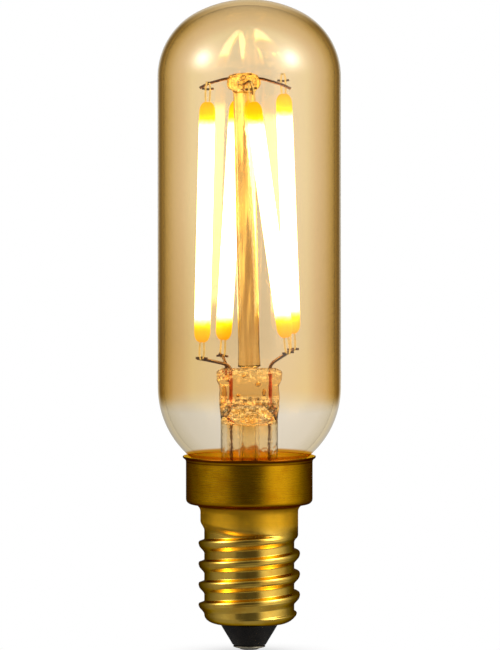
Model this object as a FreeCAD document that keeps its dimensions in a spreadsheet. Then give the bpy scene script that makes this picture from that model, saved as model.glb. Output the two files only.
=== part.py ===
import FreeCAD, Part
import math
import os
import re

import Sketcher

# A tubular filament lamp with a small screw cap, standing on its centre contact.
# Millimetres. The axis of the lamp is Z, the contact's lowest point is the origin,
# and the front of the lamp faces -Y.

SIZES = {
    # Blown glass tube, measured on its outside
    "tube_radius": 12.5,
    "glass_wall": 0.8,
    "glass_top": 89.0,
    "crown_radius": 15.5,
    "shoulder_radius": 10.0,
    "glass_neck_radius": 7.6,
    "glass_neck_top": 26.18,
    # Glass stem: flare, tube and flat press
    "stem_radius": 3.9,
    "press_start": 32.2,
    "press_flat": 34.2,
    "press_rim_start": 36.6,
    "press_top": 38.6,
    "press_width": 8.2,
    "press_thickness": 2.9,
    "press_rim": 0.5,
    # Exhaust tube inside the stem
    "exhaust_radius": 1.4,
    "exhaust_wall": 0.55,
    "exhaust_tip_height": 18.3,
    "exhaust_tip_length": 1.5,
    # Glass rod on the press, with the bead that holds the top wires
    "rod_radius": 1.45,
    "rod_gap": 0.04,
    "rod_lean": 1.1,
    "bead_radius": 2.3,
    "bead_curve": 1.0,
    "bead_crown_radius": 1.2,
    "bead_drop": 10.0,
    "bead_height": 2.9,
    "top_wire_depth": 0.8,
    "cross_wire_depth": 1.6,
    # Wires
    "wire_radius": 0.25,
    "seal_gap": 0.02,
    "weld_gap": 0.02,
    "left_lead_x": -2.45,
    "right_lead_x": 2.8,
    "branch_x": -3.15,
    "branch_y": 0.55,
    "branch_depth": 1.2,
    "wire_tail": 1.0,
    # Filament bars: one stadium section; the drop of each top is measured from the glass's top
    "bar_end_room": 17.6,
    "bar_width": 2.2,
    "bar_thickness": 1.5,
    "bar1_top_x": -5.68,
    "bar1_top_y": -0.37,
    "bar1_top_drop": 14.0,
    "bar1_foot_x": -6.45,
    "bar1_foot_y": -0.37,
    "bar2_top_x": -1.6,
    "bar2_top_y": 4.6,
    "bar2_top_drop": 14.0,
    "bar2_foot_x": -3.55,
    "bar2_foot_y": 1.9,
    "bar3_top_x": 0.5,
    "bar3_top_y": -4.65,
    "bar3_top_drop": 13.8,
    "bar3_foot_x": 5.0,
    "bar3_foot_y": -0.95,
    "bar4_top_x": 4.69,
    "bar4_top_y": 0.37,
    "bar4_top_drop": 12.9,
    "bar4_foot_x": 5.9,
    "bar4_foot_y": 0.95,
    # Metal strips clipped to the ends of the bars
    "strip_width": 0.75,
    "strip_thickness": 0.2,
    "strip_top_length": 2.8,
    "strip_foot_length": 2.4,
    "strip_wing_width": 1.6,
    "strip_wing_height": 0.35,
    "strip_top_wing_inset": 0.9,
    "strip_foot_wing_inset": 0.1,
    "top_weld_inset": 0.3,
    "low_weld_inset": 1.6,
    "foot_weld_inset": 0.3,
    # Brass cap: collar with a flared lip, neck and screw shell
    "brass_wall": 0.3,
    "lip_radius": 9.1,
    "lip_top": 26.65,
    "lip_flare": 0.6,
    "collar_radius": 8.65,
    "collar_floor": 20.1,
    "collar_corner": 0.6,
    "cap_neck_radius": 6.68,
    "cap_neck_fillet": 0.45,
    "cap_neck_end": 17.5,
    "cap_neck_taper": 0.9,
    "thread_root_radius": 6.15,
    "thread_crest_radius": 6.94,
    "thread_pitch": 2.822,
    "thread_start": 4.94,
    "thread_turns": 4.2,
    "thread_upper_flank": 0.17,
    "thread_land": 0.42,
    "thread_lower_flank": 0.95,
    "thread_bite": 0.12,
    "thread_margin": 0.06,
    "thread_fade_start": 4.6,
    "thread_fade": 1.4,
    "shell_curl_height": 4.8,
    "shell_curl_radius": 5.3,
    "shell_curl_bottom": 4.0,
    "shell_bottom": 3.6,
    "shell_mouth_radius": 3.9,
    # Cement between the collar and the glass neck
    "cement_bottom": 20.8,
    "cement_drop": 1.38,
    "cement_gap": 0.02,
    # Black glass insulator and centre contact
    "insulator_tip_radius": 2.35,
    "insulator_tip_height": 0.75,
    "insulator_top": 5.5,
    "insulator_bore": 0.5,
    "contact_radius": 2.2,
    "contact_rim": 0.25,
    "contact_dome": 0.25,
    "solder_radius": 1.3,
    # Driver board and its parts inside the screw shell
    "board_gap": 0.12,
    "board_front": -1.6,
    "board_thickness": 0.8,
    "board_top": 16.2,
    "rectifier_width": 4.7,
    "rectifier_depth": 2.3,
    "rectifier_height": 3.8,
    "rectifier_base": 11.4,
    "chip_width": 3.9,
    "chip_depth": 1.4,
    "chip_height": 3.2,
    "chip_base": 6.6,
    "chip_foot": 0.5,
    "capacitor_radius": 2.4,
    "capacitor_length": 6.4,
    "capacitor_base": 9.6,
    "capacitor_rim": 0.25,
    "capacitor_lead_x": 1.25,
    "capacitor_lead_drop": 0.75,
    "resistor_radius": 0.95,
    "resistor_length": 4.6,
    "resistor_height": 7.4,
    "resistor_reach": 3.25,
    "board_wire_radius": 0.25,
    "board_wire_foot": 14.6,
}

# Rounded profiles are turned from short straight rows, so that their facets stay few
CROWN_STEPS = 2
SHOULDER_STEPS = 3
ROUND_END_STEPS = 3
INSIDE_STEPS = 2
FLARE_STEPS = 1
CORNER_STEPS = 2
WIRE_SIDES = 8
BARS = "1234"

doc = FreeCAD.newDocument("TubularLamp")
sheet = doc.addObject("Spreadsheet::Sheet", "Sizes")
for row, (alias, number) in enumerate(SIZES.items(), start=1):
    sheet.set(f"A{row}", alias)
    sheet.set(f"B{row}", str(number))
    sheet.setAlias(f"B{row}", alias)
doc.recompute()

parts = {}


def bound(text):
    """The expression with each size's name pointing at the sheet."""
    return re.sub(r"\b[a-z][a-z0-9_]*\b(?!\()", lambda word: "Sizes." + word.group(0), str(text))


def size(text):
    """The number that an expression of sizes has now."""
    found = sheet.evalExpression(bound(text))
    return float(getattr(found, "Value", found))


def keep(node, thing):
    """Gives the object its node's name and puts it on the list of sub-parts."""
    thing.Label = node
    parts[node] = thing
    return thing


# Sketches and features of one body

def origin_plane(body, role):
    return next(f for f in body.Origin.OriginFeatures if f.Role == role)


def new_sketch(body, name, role="XZ_Plane", lift=None):
    sketch = body.newObject("Sketcher::SketchObject", name)
    sketch.AttachmentSupport = (origin_plane(body, role), [""])
    sketch.MapMode = "FlatFace"
    if lift is not None:
        sketch.setExpression("AttachmentOffset.Base.z", bound(lift))
    return sketch


def held(sketch, kind, edge, point, now, text):
    """Holds a point of an edge at a distance from the origin that an expression gives.

    Point 1 is the edge's start, 2 its end and 3 its centre; -1 and 1 name the origin.
    """
    number = sketch.addConstraint(Sketcher.Constraint(kind, -1, 1, edge, point, now))
    sketch.setExpression(f"Constraints[{number}]", bound(text))


def half_round(start, end):
    """A half circle that leads counter-clockwise from start to end."""
    centre = (start + end) * 0.5
    ring = Part.Circle(centre, FreeCAD.Vector(0, 0, 1), (end - start).Length / 2)
    angle = math.atan2(start.y - centre.y, start.x - centre.x)
    return Part.ArcOfCircle(ring, angle, angle + math.pi)


def closed_outline(sketch, outline):
    """Adds a closed outline whose corners are pairs of expressions.

    A third item, "round", joins a corner by a half circle to the next one, right above or below.
    """
    corners = [FreeCAD.Vector(size(c[0]), size(c[1]), 0) for c in outline]
    first = sketch.GeometryCount
    for at, corner in enumerate(outline):
        shape = half_round if len(corner) == 3 else Part.LineSegment
        sketch.addGeometry(shape(corners[at], corners[(at + 1) % len(corners)]), False)
    for at, corner in enumerate(outline):
        edge, last = first + at, first + (at - 1) % len(outline)
        sketch.addConstraint(Sketcher.Constraint("Coincident", last, 2, edge, 1))
        held(sketch, "DistanceX", edge, 1, corners[at].x, corner[0])
        held(sketch, "DistanceY", edge, 1, corners[at].y, corner[1])
        if len(corner) == 3:
            held(sketch, "DistanceX", edge, 3, corners[at].x, corner[0])


def revolve(body, outline, name="Turned"):
    sketch = new_sketch(body, name + "Outline")
    closed_outline(sketch, outline)
    feature = body.newObject("PartDesign::Revolution", name)
    feature.Profile = sketch
    feature.ReferenceAxis = (sketch, ["V_Axis"])
    feature.Angle = 360
    body.Tip = feature
    doc.recompute()
    return feature


def turned(node, outline):
    """A body turned about Z from an outline of radius and height."""
    body = doc.addObject("PartDesign::Body", node.title().replace("_", ""))
    revolve(body, outline)
    return keep(node, body)


def circle(sketch, x, y, radius):
    """Adds a circle whose centre and radius are expressions."""
    centre = FreeCAD.Vector(size(x), size(y), 0)
    ring = sketch.addGeometry(Part.Circle(centre, FreeCAD.Vector(0, 0, 1), size(radius)), False)
    held(sketch, "DistanceX", ring, 3, centre.x, x)
    held(sketch, "DistanceY", ring, 3, centre.y, y)
    number = sketch.addConstraint(Sketcher.Constraint("Radius", ring, size(radius)))
    sketch.setExpression(f"Constraints[{number}]", bound(radius))


def padded(body, outline, start, length, name="Pad", role="XY_Plane"):
    sketch = new_sketch(body, name + "Outline", role, start)
    closed_outline(sketch, outline)
    feature = body.newObject("PartDesign::Pad", name)
    feature.Profile = sketch
    feature.setExpression("Length", bound(length))
    body.Tip = feature
    doc.recompute()
    return feature


def stadium(width, thickness):
    """A flat oval about the origin: two straight sides joined by half rounds."""
    flat = f"({width} - {thickness}) / 2"
    half = f"({thickness}) / 2"
    return [
        (f"-{flat}", f"-{half}"),
        (flat, f"-{half}", "round"),
        (flat, half),
        (f"-{flat}", half, "round"),
    ]


# Turned glass

def rounding(x, z, radius, start, end, steps):
    """Corners along an arc about (x, z) from one angle to the other, in degrees."""
    corners = []
    for step in range(steps + 1):
        angle = f"({start} + ({end} - {start}) * {step} / {steps})"
        corners.append((f"{x} + ({radius}) * cos({angle})", f"{z} + ({radius}) * sin({angle})"))
    return corners


DOME_ANGLE = "(acos((tube_radius - shoulder_radius) / (crown_radius - shoulder_radius)) / 1deg)"
DOME_HEIGHT = ("(glass_top - crown_radius"
               f" + (crown_radius - shoulder_radius) * sin({DOME_ANGLE}))")
ROUND_END = "(glass_neck_top + sqrt(pow(tube_radius; 2) - pow(glass_neck_radius; 2)))"


def envelope_side(inset, shoulder_steps, end_steps):
    """The tube's side from the crown's edge down to the neck, moved in by the inset."""
    neck_angle = f"(-acos((glass_neck_radius - {inset}) / (tube_radius - {inset})) / 1deg)"
    shoulder = rounding("tube_radius - shoulder_radius", DOME_HEIGHT,
                        f"shoulder_radius - {inset}", DOME_ANGLE, "0", shoulder_steps)
    round_end = rounding("0", ROUND_END, f"tube_radius - {inset}", "0", neck_angle, end_steps)
    return shoulder + round_end


FLARE_FOOT = "(collar_floor + brass_wall + seal_gap)"
RIM_HEIGHT = f"({FLARE_FOOT} + glass_wall)"
BORE = "(stem_radius - glass_wall)"


def glass_envelope():
    """The blown tube, its crown a little thicker than its wall."""
    crown = rounding("0", "glass_top - crown_radius", "crown_radius", "90", DOME_ANGLE, CROWN_STEPS)
    outside = envelope_side("0", SHOULDER_STEPS, ROUND_END_STEPS)
    rim = [("glass_neck_radius", RIM_HEIGHT), ("glass_neck_radius - glass_wall", RIM_HEIGHT)]
    inside = envelope_side("glass_wall", INSIDE_STEPS, INSIDE_STEPS)[::-1]
    turned("glass_envelope", [("0", "glass_top")] + crown[1:-1] + outside + rim + inside
           + [("0", inside[-1][1])])


def glass_stem():
    """Flare and tube turned in one, pinched to a flat press above, with its wire seals."""
    body = doc.addObject("PartDesign::Body", "GlassStem")
    throat = "(glass_neck_radius - glass_wall)"
    curve = f"({throat} - stem_radius)"
    middle = f"{RIM_HEIGHT} + {curve}"
    inside = rounding(throat, middle, f"{curve} + glass_wall", "180", "270", FLARE_STEPS)
    outside = rounding(throat, middle, curve, "270", "180", FLARE_STEPS)
    revolve(body, [
        ("0", "press_start"),
        (BORE, "press_start"),
    ] + inside + [
        ("glass_neck_radius", FLARE_FOOT),
        ("glass_neck_radius", RIM_HEIGHT),
    ] + outside + [
        ("stem_radius", "press_flat"),
        ("0", "press_flat"),
    ], "Flare")
    pinch = new_sketch(body, "PinchOutline", "YZ_Plane")
    for side in ("", "-"):
        closed_outline(pinch, [
            (f"{side}stem_radius * 2", "press_start + glass_wall"),
            (f"{side}stem_radius * 2", "press_flat * 2"),
            (f"{side}press_thickness / 2", "press_flat * 2"),
            (f"{side}press_thickness / 2", "press_flat"),
            (f"{side}stem_radius", "press_start + glass_wall"),
        ])
    cut = body.newObject("PartDesign::Pocket", "Pinch")
    cut.Profile = pinch
    cut.Midplane = True
    cut.setExpression("Length", bound("stem_radius * 4"))
    body.Tip = cut
    doc.recompute()
    padded(body, stadium("press_width", "press_thickness"), "press_flat",
           "press_rim_start - press_flat", "Press")
    padded(body, stadium("press_width + press_rim", "press_thickness + press_rim"),
           "press_rim_start", "press_top - press_rim_start", "PressRim")
    seals = (("left_lead_x", "0", "press_top - press_start"),
             ("right_lead_x", "0", "press_top - press_start"),
             ("branch_x", "branch_y", "branch_depth + seal_gap"))
    for number, (x, y, depth) in enumerate(seals, start=1):
        mouth = new_sketch(body, f"Seal{number}Mouth", "XY_Plane", "press_top")
        circle(mouth, x, y, "wire_radius + seal_gap")
        seal = body.newObject("PartDesign::Pocket", f"Seal{number}")
        seal.Profile = mouth
        seal.setExpression("Length", bound(depth))
        body.Tip = seal
        doc.recompute()
    keep("glass_stem", body)


def exhaust_tube():
    bore = "(exhaust_radius - exhaust_wall)"
    shoulder = "exhaust_tip_height + exhaust_tip_length"
    turned("exhaust_tube", [
        ("0", "exhaust_tip_height"),
        ("exhaust_wall", "exhaust_tip_height"),
        ("exhaust_radius", shoulder),
        ("exhaust_radius", "press_start"),
        (bore, "press_start"),
        (bore, shoulder),
        ("0", f"{shoulder} - exhaust_wall"),
    ])


BEAD_TOP = "(glass_top - bead_drop)"


def centre_rod():
    """Glass rod and bead in one, leaning on the press, bored for the two top wires."""
    body = doc.addObject("PartDesign::Body", "RodAndBead")
    foot = "(press_top + rod_gap)"
    bead_start = f"{BEAD_TOP} - bead_height - {foot}"
    bead_end = f"{BEAD_TOP} - {foot}"
    revolve(body, [
        ("0", "0"),
        ("rod_radius", "0"),
        ("rod_radius", bead_start),
        ("bead_radius", f"{bead_start} + bead_curve / 2"),
        ("bead_radius", f"{bead_end} - bead_curve"),
        ("bead_crown_radius", bead_end),
        ("0", bead_end),
    ])
    body.setExpression("Placement.Base.z", bound(foot))
    body.Placement.Rotation = FreeCAD.Rotation(FreeCAD.Vector(0, 1, 0), -size("rod_lean"))
    bores = [bead_bore("top_wire_depth", FreeCAD.Vector(1, 0, 0)),
             bead_bore("cross_wire_depth", FreeCAD.Vector(0, 1, 0))]
    tool = doc.addObject("Part::MultiFuse", "BeadBores")
    tool.Shapes = bores
    cut = doc.addObject("Part::Cut", "CentreRod")
    cut.Base = body
    cut.Tool = tool
    doc.recompute()
    keep("centre_rod", cut)


def bead_centre_x():
    """How far the lean has carried the rod's axis at the bead."""
    rise = size(f"{BEAD_TOP} - bead_height / 2 - press_top")
    return -rise * math.sin(math.radians(size("rod_lean")))


def bead_bore(depth, along):
    """A drill through the bead for a wire that runs along one of the level axes."""
    drill = doc.addObject("Part::Cylinder", "Drill")
    drill.setExpression("Radius", bound("wire_radius + seal_gap"))
    drill.setExpression("Height", bound("bead_radius * 4"))
    middle = FreeCAD.Vector(bead_centre_x(), 0, size(f"{BEAD_TOP} - {depth}"))
    start = middle - along * (2 * size("bead_radius"))
    drill.Placement = FreeCAD.Placement(start, FreeCAD.Rotation(FreeCAD.Vector(0, 0, 1), along))
    return drill


# Filament bars and the strips on their ends

BAR_LENGTH = "(glass_top - press_top - bar_end_room)"


def bar_frame(bar):
    """The placement of a bar: origin at its foot, Z along it, X across the lamp's front."""
    top = FreeCAD.Vector(size(f"bar{bar}_top_x"), size(f"bar{bar}_top_y"),
                         size(f"glass_top - bar{bar}_top_drop"))
    shift = FreeCAD.Vector(size(f"bar{bar}_foot_x"), size(f"bar{bar}_foot_y"), 0)
    shift -= FreeCAD.Vector(top.x, top.y, 0)
    drop = math.sqrt(size(BAR_LENGTH) ** 2 - shift.Length**2)
    foot = top + shift - FreeCAD.Vector(0, 0, drop)
    turn = FreeCAD.Rotation(FreeCAD.Vector(1, 0, 0), FreeCAD.Vector(0, 1, 0), top - foot, "ZXY")
    return FreeCAD.Placement(foot, turn)


def end_frame(bar, end):
    """A frame whose Z leads away from the bar at its top or foot."""
    frame = bar_frame(bar)
    if end == "top":
        return frame * FreeCAD.Placement(FreeCAD.Vector(0, 0, size(BAR_LENGTH)),
                                         FreeCAD.Rotation())
    return frame * FreeCAD.Placement(FreeCAD.Vector(),
                                     FreeCAD.Rotation(FreeCAD.Vector(1, 0, 0), 180))


def filament_bar(bar):
    body = doc.addObject("PartDesign::Body", f"Filament{bar}")
    padded(body, stadium("bar_width", "bar_thickness"), "0", BAR_LENGTH, "Bar")
    body.Placement = bar_frame(bar)
    keep(f"filament_{bar}", body)


def end_strip(bar, end):
    """A flat strip with two small wings, standing on the end of a bar."""
    body = doc.addObject("PartDesign::Body", f"Strip{bar}{end.title()}")
    half, wing = "strip_width / 2", "strip_wing_width / 2"
    length = f"strip_{end}_length"
    upper = f"{length} - strip_{end}_wing_inset"
    lower = f"{upper} - strip_wing_height"
    right = [(half, "0"), (half, lower), (wing, lower), (wing, upper), (half, upper),
             (half, length)]
    left = [(f"-{x}", z) for x, z in right[::-1]]
    padded(body, right + left, "-strip_thickness / 2", "strip_thickness", "Strip", "XZ_Plane")
    body.Placement = end_frame(bar, end)
    keep(f"filament_{bar}_{end}_strip", body)


def weld_point(bar, end, inset, side):
    """Where a wire's centre line meets a strip, on its back (1) or its front (-1)."""
    frame = end_frame(bar, end)
    stand_off = size("strip_thickness / 2 + wire_radius + weld_gap")
    flip = side if end == "top" else -side
    return frame.multVec(FreeCAD.Vector(0, flip * stand_off, size(f"strip_{end}_length") - inset))


# Wires

def swept_wire(route, radius):
    """A wire with few sides along straight runs that meet in mitred bends."""
    frame = FreeCAD.Rotation(FreeCAD.Vector(0, 0, 1), route[1] - route[0])
    rim = []
    for side in range(WIRE_SIDES + 1):
        angle = 2 * math.pi * side / WIRE_SIDES
        corner = FreeCAD.Vector(math.cos(angle), math.sin(angle), 0) * radius
        rim.append(route[0] + frame.multVec(corner))
    return Part.makePolygon(route).makePipeShell([Part.makePolygon(rim)], True, False, 1)


def bent_wire(node, route, radius):
    wire = doc.addObject("Part::Feature", node.title().replace("_", ""))
    wire.Shape = swept_wire(route, radius)
    keep(node, wire)


def top_wires():
    vector = FreeCAD.Vector
    radius, tail = size("wire_radius"), size("wire_tail")
    bead_x, reach = bead_centre_x(), size("bead_radius + wire_radius * 2")
    level = size(f"{BEAD_TOP} - top_wire_depth")
    left = weld_point(1, "top", size("top_weld_inset"), 1)
    right = weld_point(4, "top", size("low_weld_inset"), -1)
    bent_wire("left_right_wire", [
        left + vector(-tail, 0, -tail / 2),
        left,
        vector(bead_x - reach, 0, level),
        vector(bead_x + reach, 0, level),
        right,
        right + vector(tail, 0, -tail / 2),
    ], radius)
    level = size(f"{BEAD_TOP} - cross_wire_depth")
    aside = vector(size("strip_width / 4"), 0, 0)
    near = weld_point(3, "top", 0, 1) + aside
    near_end = weld_point(3, "top", size("strip_top_length") - tail, 1) + aside
    far = weld_point(2, "top", size("top_weld_inset"), -1)
    bent_wire("front_back_wire", [
        near_end,
        near,
        vector(bead_x, -reach, level),
        vector(bead_x, reach, level),
        far + vector(tail, 0, 0),
        far - vector(tail / 2, 0, 0),
    ], radius)


def board_face():
    """How far back a wire's centre lies when it rests on the back of the board."""
    return size("board_front + board_thickness + weld_gap + board_wire_radius")


def lead_tail(x):
    """The run of a lead from the press down to the back of the driver board."""
    return [
        FreeCAD.Vector(x, 0, size("collar_floor")),
        FreeCAD.Vector(x, board_face(), size("board_top + wire_tail")),
        FreeCAD.Vector(x, board_face(), size("board_wire_foot")),
    ]


def lead_wires():
    vector = FreeCAD.Vector
    radius, tail = size("wire_radius"), size("wire_tail")
    left_x, right_x, top = size("left_lead_x"), size("right_lead_x"), size("press_top")
    weld = weld_point(1, "foot", size("foot_weld_inset"), 1)
    elbow = vector(left_x - tail, 0, top + tail * 0.55)
    bent_wire("left_lead_wire", [
        weld + (weld - elbow).normalize() * (tail * 0.7),
        elbow,
        vector(left_x, 0, top + tail / 4),
    ] + lead_tail(left_x), radius)
    weld = weld_point(2, "foot", size("foot_weld_inset"), -1)
    branch = vector(size("branch_x"), size("branch_y"), top)
    bent_wire("left_branch_wire", [
        weld + vector(-tail / 2, 0, tail / 4),
        weld,
        branch + vector(0, 0, tail / 2),
        branch - vector(0, 0, size("branch_depth")),
    ], radius)
    front = weld_point(3, "foot", size("foot_weld_inset"), 1)
    back = weld_point(4, "foot", size("foot_weld_inset"), -1) + vector(0, radius / 2, 0)
    bent_wire("right_lead_wire", [
        back,
        front,
        vector(right_x + tail / 3, 0, top + tail * 0.7),
        vector(right_x, 0, top + tail / 4),
    ] + lead_tail(right_x), radius)


# Brass cap

SHELL_INSIDE = "(thread_root_radius - brass_wall)"


def cap_shell():
    """Drawn brass collar, neck and screw shell, with a rolled right-hand thread."""
    body = doc.addObject("PartDesign::Body", "CapBase")
    collar_inside = "(collar_radius - brass_wall)"
    lip_inside = "(lip_radius - brass_wall)"
    revolve(body, [
        (lip_inside, "lip_top"),
        (collar_inside, "lip_top - lip_flare"),
        (collar_inside, "collar_floor + brass_wall"),
        (SHELL_INSIDE, "collar_floor + brass_wall"),
        (SHELL_INSIDE, "shell_curl_height"),
        ("shell_mouth_radius", "shell_curl_height"),
        ("shell_mouth_radius", "shell_bottom"),
        ("shell_curl_radius", "shell_curl_bottom"),
        ("thread_root_radius", "shell_curl_height"),
        ("thread_root_radius", "cap_neck_end - cap_neck_taper"),
        ("cap_neck_radius", "cap_neck_end"),
        ("cap_neck_radius", "collar_floor - cap_neck_fillet"),
        ("cap_neck_radius + cap_neck_fillet", "collar_floor"),
    ] + rounding("collar_radius - collar_corner", "collar_floor + collar_corner",
                 "collar_corner", "270", "360", CORNER_STEPS) + [
        ("collar_radius", "lip_top - lip_flare"),
        ("lip_radius", "lip_top"),
    ], "Cap")
    shell = doc.addObject("Part::MultiFuse", "CapShell")
    shell.Shapes = [body, thread_ridge()]
    doc.recompute()
    keep("cap_shell", shell)


def thread_ridge():
    """The thread's crest, run out at both ends by a turned limit."""
    ridge = doc.addObject("PartDesign::Body", "Ridge")
    sketch = new_sketch(ridge, "RidgeOutline")
    bite = "(thread_root_radius - thread_bite)"
    upper = "thread_start + thread_land / 2"
    lower = "thread_start - thread_land / 2"
    closed_outline(sketch, [
        (bite, f"{lower} - thread_lower_flank"),
        ("thread_crest_radius", "thread_start"),
        (bite, f"{upper} + thread_upper_flank"),
    ])
    helix = ridge.newObject("PartDesign::AdditiveHelix", "Thread")
    helix.Profile = sketch
    helix.ReferenceAxis = (sketch, ["V_Axis"])
    helix.Mode = "pitch-turns-angle"
    helix.setExpression("Pitch", bound("thread_pitch"))
    helix.setExpression("Turns", bound("thread_turns"))
    ridge.Tip = helix
    limit = doc.addObject("PartDesign::Body", "RunOut")
    clear = "(thread_crest_radius + thread_margin)"
    revolve(limit, [
        ("0", "thread_fade_start"),
        ("thread_root_radius + thread_bite", "thread_fade_start"),
        (clear, "thread_fade_start + thread_fade"),
        (clear, "cap_neck_end - cap_neck_taper - thread_fade"),
        ("cap_neck_radius + thread_margin / 3", "cap_neck_end - cap_neck_taper / 2"),
        ("cap_neck_radius + thread_margin / 3", "cap_neck_end"),
        ("0", "cap_neck_end"),
    ], "Limit")
    common = doc.addObject("Part::Common", "RunOutRidge")
    common.Base = ridge
    common.Tool = limit
    doc.recompute()
    return common


def capping_cement():
    inside = "glass_neck_radius + cement_gap"
    outside = "collar_radius - brass_wall - cement_gap"
    turned("capping_cement", [
        (inside, "cement_bottom"),
        (outside, "cement_bottom"),
        (outside, "glass_neck_top - cement_drop"),
        (inside, "glass_neck_top - cement_drop"),
    ])


def cap_insulator():
    """Black glass cast into the foot of the shell, with a cone for the contact."""
    mouth = "shell_mouth_radius - seal_gap"
    turned("cap_insulator", [
        ("insulator_bore", "insulator_tip_height"),
        ("insulator_tip_radius", "insulator_tip_height"),
        (mouth, "shell_bottom"),
        (mouth, "shell_curl_height + seal_gap"),
        (f"{SHELL_INSIDE} - seal_gap", "shell_curl_height + seal_gap"),
        (f"{SHELL_INSIDE} - seal_gap", "insulator_top"),
        ("insulator_bore", "insulator_top"),
    ])


def centre_contact():
    """A small dished plate under the insulator, and the solder on it."""
    flat = "contact_dome"
    turned("centre_contact", [
        ("insulator_bore", "insulator_tip_height"),
        ("contact_radius", "insulator_tip_height"),
        ("contact_radius", "insulator_tip_height - contact_rim"),
        ("solder_radius", flat),
        ("insulator_bore", flat),
    ])
    turned("contact_solder", [
        ("0", "0"),
        ("solder_radius / 2", f"{flat} / 4"),
        ("solder_radius", flat),
        ("0", flat),
    ])


# Driver board and its parts

def box(name, sides, corner):
    """A plain block whose sides and lowest corner are expressions."""
    block = doc.addObject("Part::Box", name)
    for name_of_side, text in zip(("Length", "Width", "Height"), sides):
        block.setExpression(name_of_side, bound(text))
    for axis, text in zip("xyz", corner):
        block.setExpression(f"Placement.Base.{axis}", bound(text))
    return block


def joined(node, pieces):
    whole = doc.addObject("Part::MultiFuse", node.title().replace("_", ""))
    whole.Shapes = pieces
    doc.recompute()
    keep(node, whole)


def driver_board():
    half = f"(sqrt(pow({SHELL_INSIDE}; 2) - pow(board_front; 2)) - board_gap)"
    board = box("DriverBoard", (f"2 * {half}", "board_thickness", "board_top - insulator_top"),
                (f"-{half}", "board_front", "insulator_top"))
    keep("driver_board", board)


def board_chip(node, kind, legs):
    """A moulded chip on the front of the board, with flat legs down both sides."""
    width, depth, height, base = (f"{kind}_{word}" for word in ("width", "depth", "height", "base"))
    pieces = [box("Chip", (width, depth, height), (f"-{width} / 2", f"board_front - {depth}", base))]
    for leg in range(legs):
        level = f"{base} + {height} * {leg + 0.5} / {legs} - chip_foot / 2"
        pieces.append(box("Leg", (f"{width} + 2 * chip_foot", "chip_foot / 2", "chip_foot"),
                          (f"-{width} / 2 - chip_foot", "board_front - chip_foot / 2", level)))
    joined(node, pieces)


def smoothing_capacitor():
    """A can lying against the back of the board, its two leads bent to the board."""
    body = doc.addObject("PartDesign::Body", "CapacitorCan")
    top = "capacitor_base + capacitor_length"
    revolve(body, [
        ("0", "capacitor_base"),
        ("capacitor_radius", "capacitor_base"),
        ("capacitor_radius", "capacitor_base + 2 * capacitor_rim"),
        ("capacitor_radius - capacitor_rim", "capacitor_base + 3 * capacitor_rim"),
        ("capacitor_radius", "capacitor_base + 4 * capacitor_rim"),
        ("capacitor_radius", top),
        ("0", top),
    ])
    back = "board_front + board_thickness"
    can_y = f"{back} + seal_gap + capacitor_radius"
    body.setExpression("Placement.Base.y", bound(can_y))
    pieces = [body]
    for x in (-size("capacitor_lead_x"), size("capacitor_lead_x")):
        lead = doc.addObject("Part::Feature", "CapacitorLead")
        base, drop = size("capacitor_base"), size("capacitor_lead_drop")
        lead.Shape = swept_wire([
            FreeCAD.Vector(x, size(can_y), base),
            FreeCAD.Vector(x, size(can_y), base - drop),
            FreeCAD.Vector(x, size(back), base - drop),
        ], size("board_wire_radius"))
        pieces.append(lead)
    joined("smoothing_capacitor", pieces)


RESISTOR_Y = "(board_front + board_thickness + seal_gap + resistor_radius)"


def fuse_resistor():
    """An axial resistor behind the board, its lead bent on to the board's back at both ends."""
    vector = FreeCAD.Vector
    reach, level = size("resistor_reach"), size("resistor_height")
    lead_y, back = size(RESISTOR_Y), size("board_front + board_thickness")
    lead = doc.addObject("Part::Feature", "ResistorLead")
    lead.Shape = swept_wire([
        vector(-reach, back, level),
        vector(-reach, lead_y, level),
        vector(reach, lead_y, level),
        vector(reach, back, level),
    ], size("board_wire_radius"))
    barrel = doc.addObject("Part::Cylinder", "ResistorBarrel")
    barrel.setExpression("Radius", "Sizes.resistor_radius")
    barrel.setExpression("Height", "Sizes.resistor_length")
    start = vector(-size("resistor_length") / 2, lead_y, level)
    barrel.Placement = FreeCAD.Placement(start, FreeCAD.Rotation(vector(0, 0, 1), vector(1, 0, 0)))
    joined("fuse_resistor", [barrel, lead])


def board_wires():
    vector = FreeCAD.Vector
    radius, tail = size("board_wire_radius"), size("wire_tail")
    level = size("insulator_top + board_wire_radius + weld_gap * 4")
    reach, lead_y = size("resistor_reach"), size(RESISTOR_Y)
    bent_wire("live_wire", [
        vector(0, 0, size("contact_dome")),
        vector(0, 0, level),
        vector(reach, lead_y, level),
        vector(reach, lead_y, size("resistor_height - board_wire_radius - weld_gap")),
    ], radius)
    wall = size(f"{SHELL_INSIDE} - board_wire_radius - weld_gap")
    wall_x = -math.sqrt(wall**2 - board_face() ** 2)
    start_x = wall_x + 1.5 * tail
    neck = size("cap_neck_end")
    bent_wire("neutral_wire", [
        vector(start_x, board_face(), size("board_wire_foot")),
        vector(start_x, board_face(), size("board_top")),
        vector(wall_x, board_face(), neck + tail / 2),
        vector(wall_x, board_face(), neck + 1.5 * tail),
    ], radius)


def build():
    glass_envelope()
    glass_stem()
    exhaust_tube()
    centre_rod()
    for bar in BARS:
        filament_bar(bar)
        end_strip(bar, "top")
        end_strip(bar, "foot")
    top_wires()
    lead_wires()
    cap_shell()
    capping_cement()
    cap_insulator()
    centre_contact()
    driver_board()
    board_chip("bridge_rectifier", "rectifier", 2)
    board_chip("driver_chip", "chip", 3)
    smoothing_capacitor()
    fuse_resistor()
    board_wires()


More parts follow.
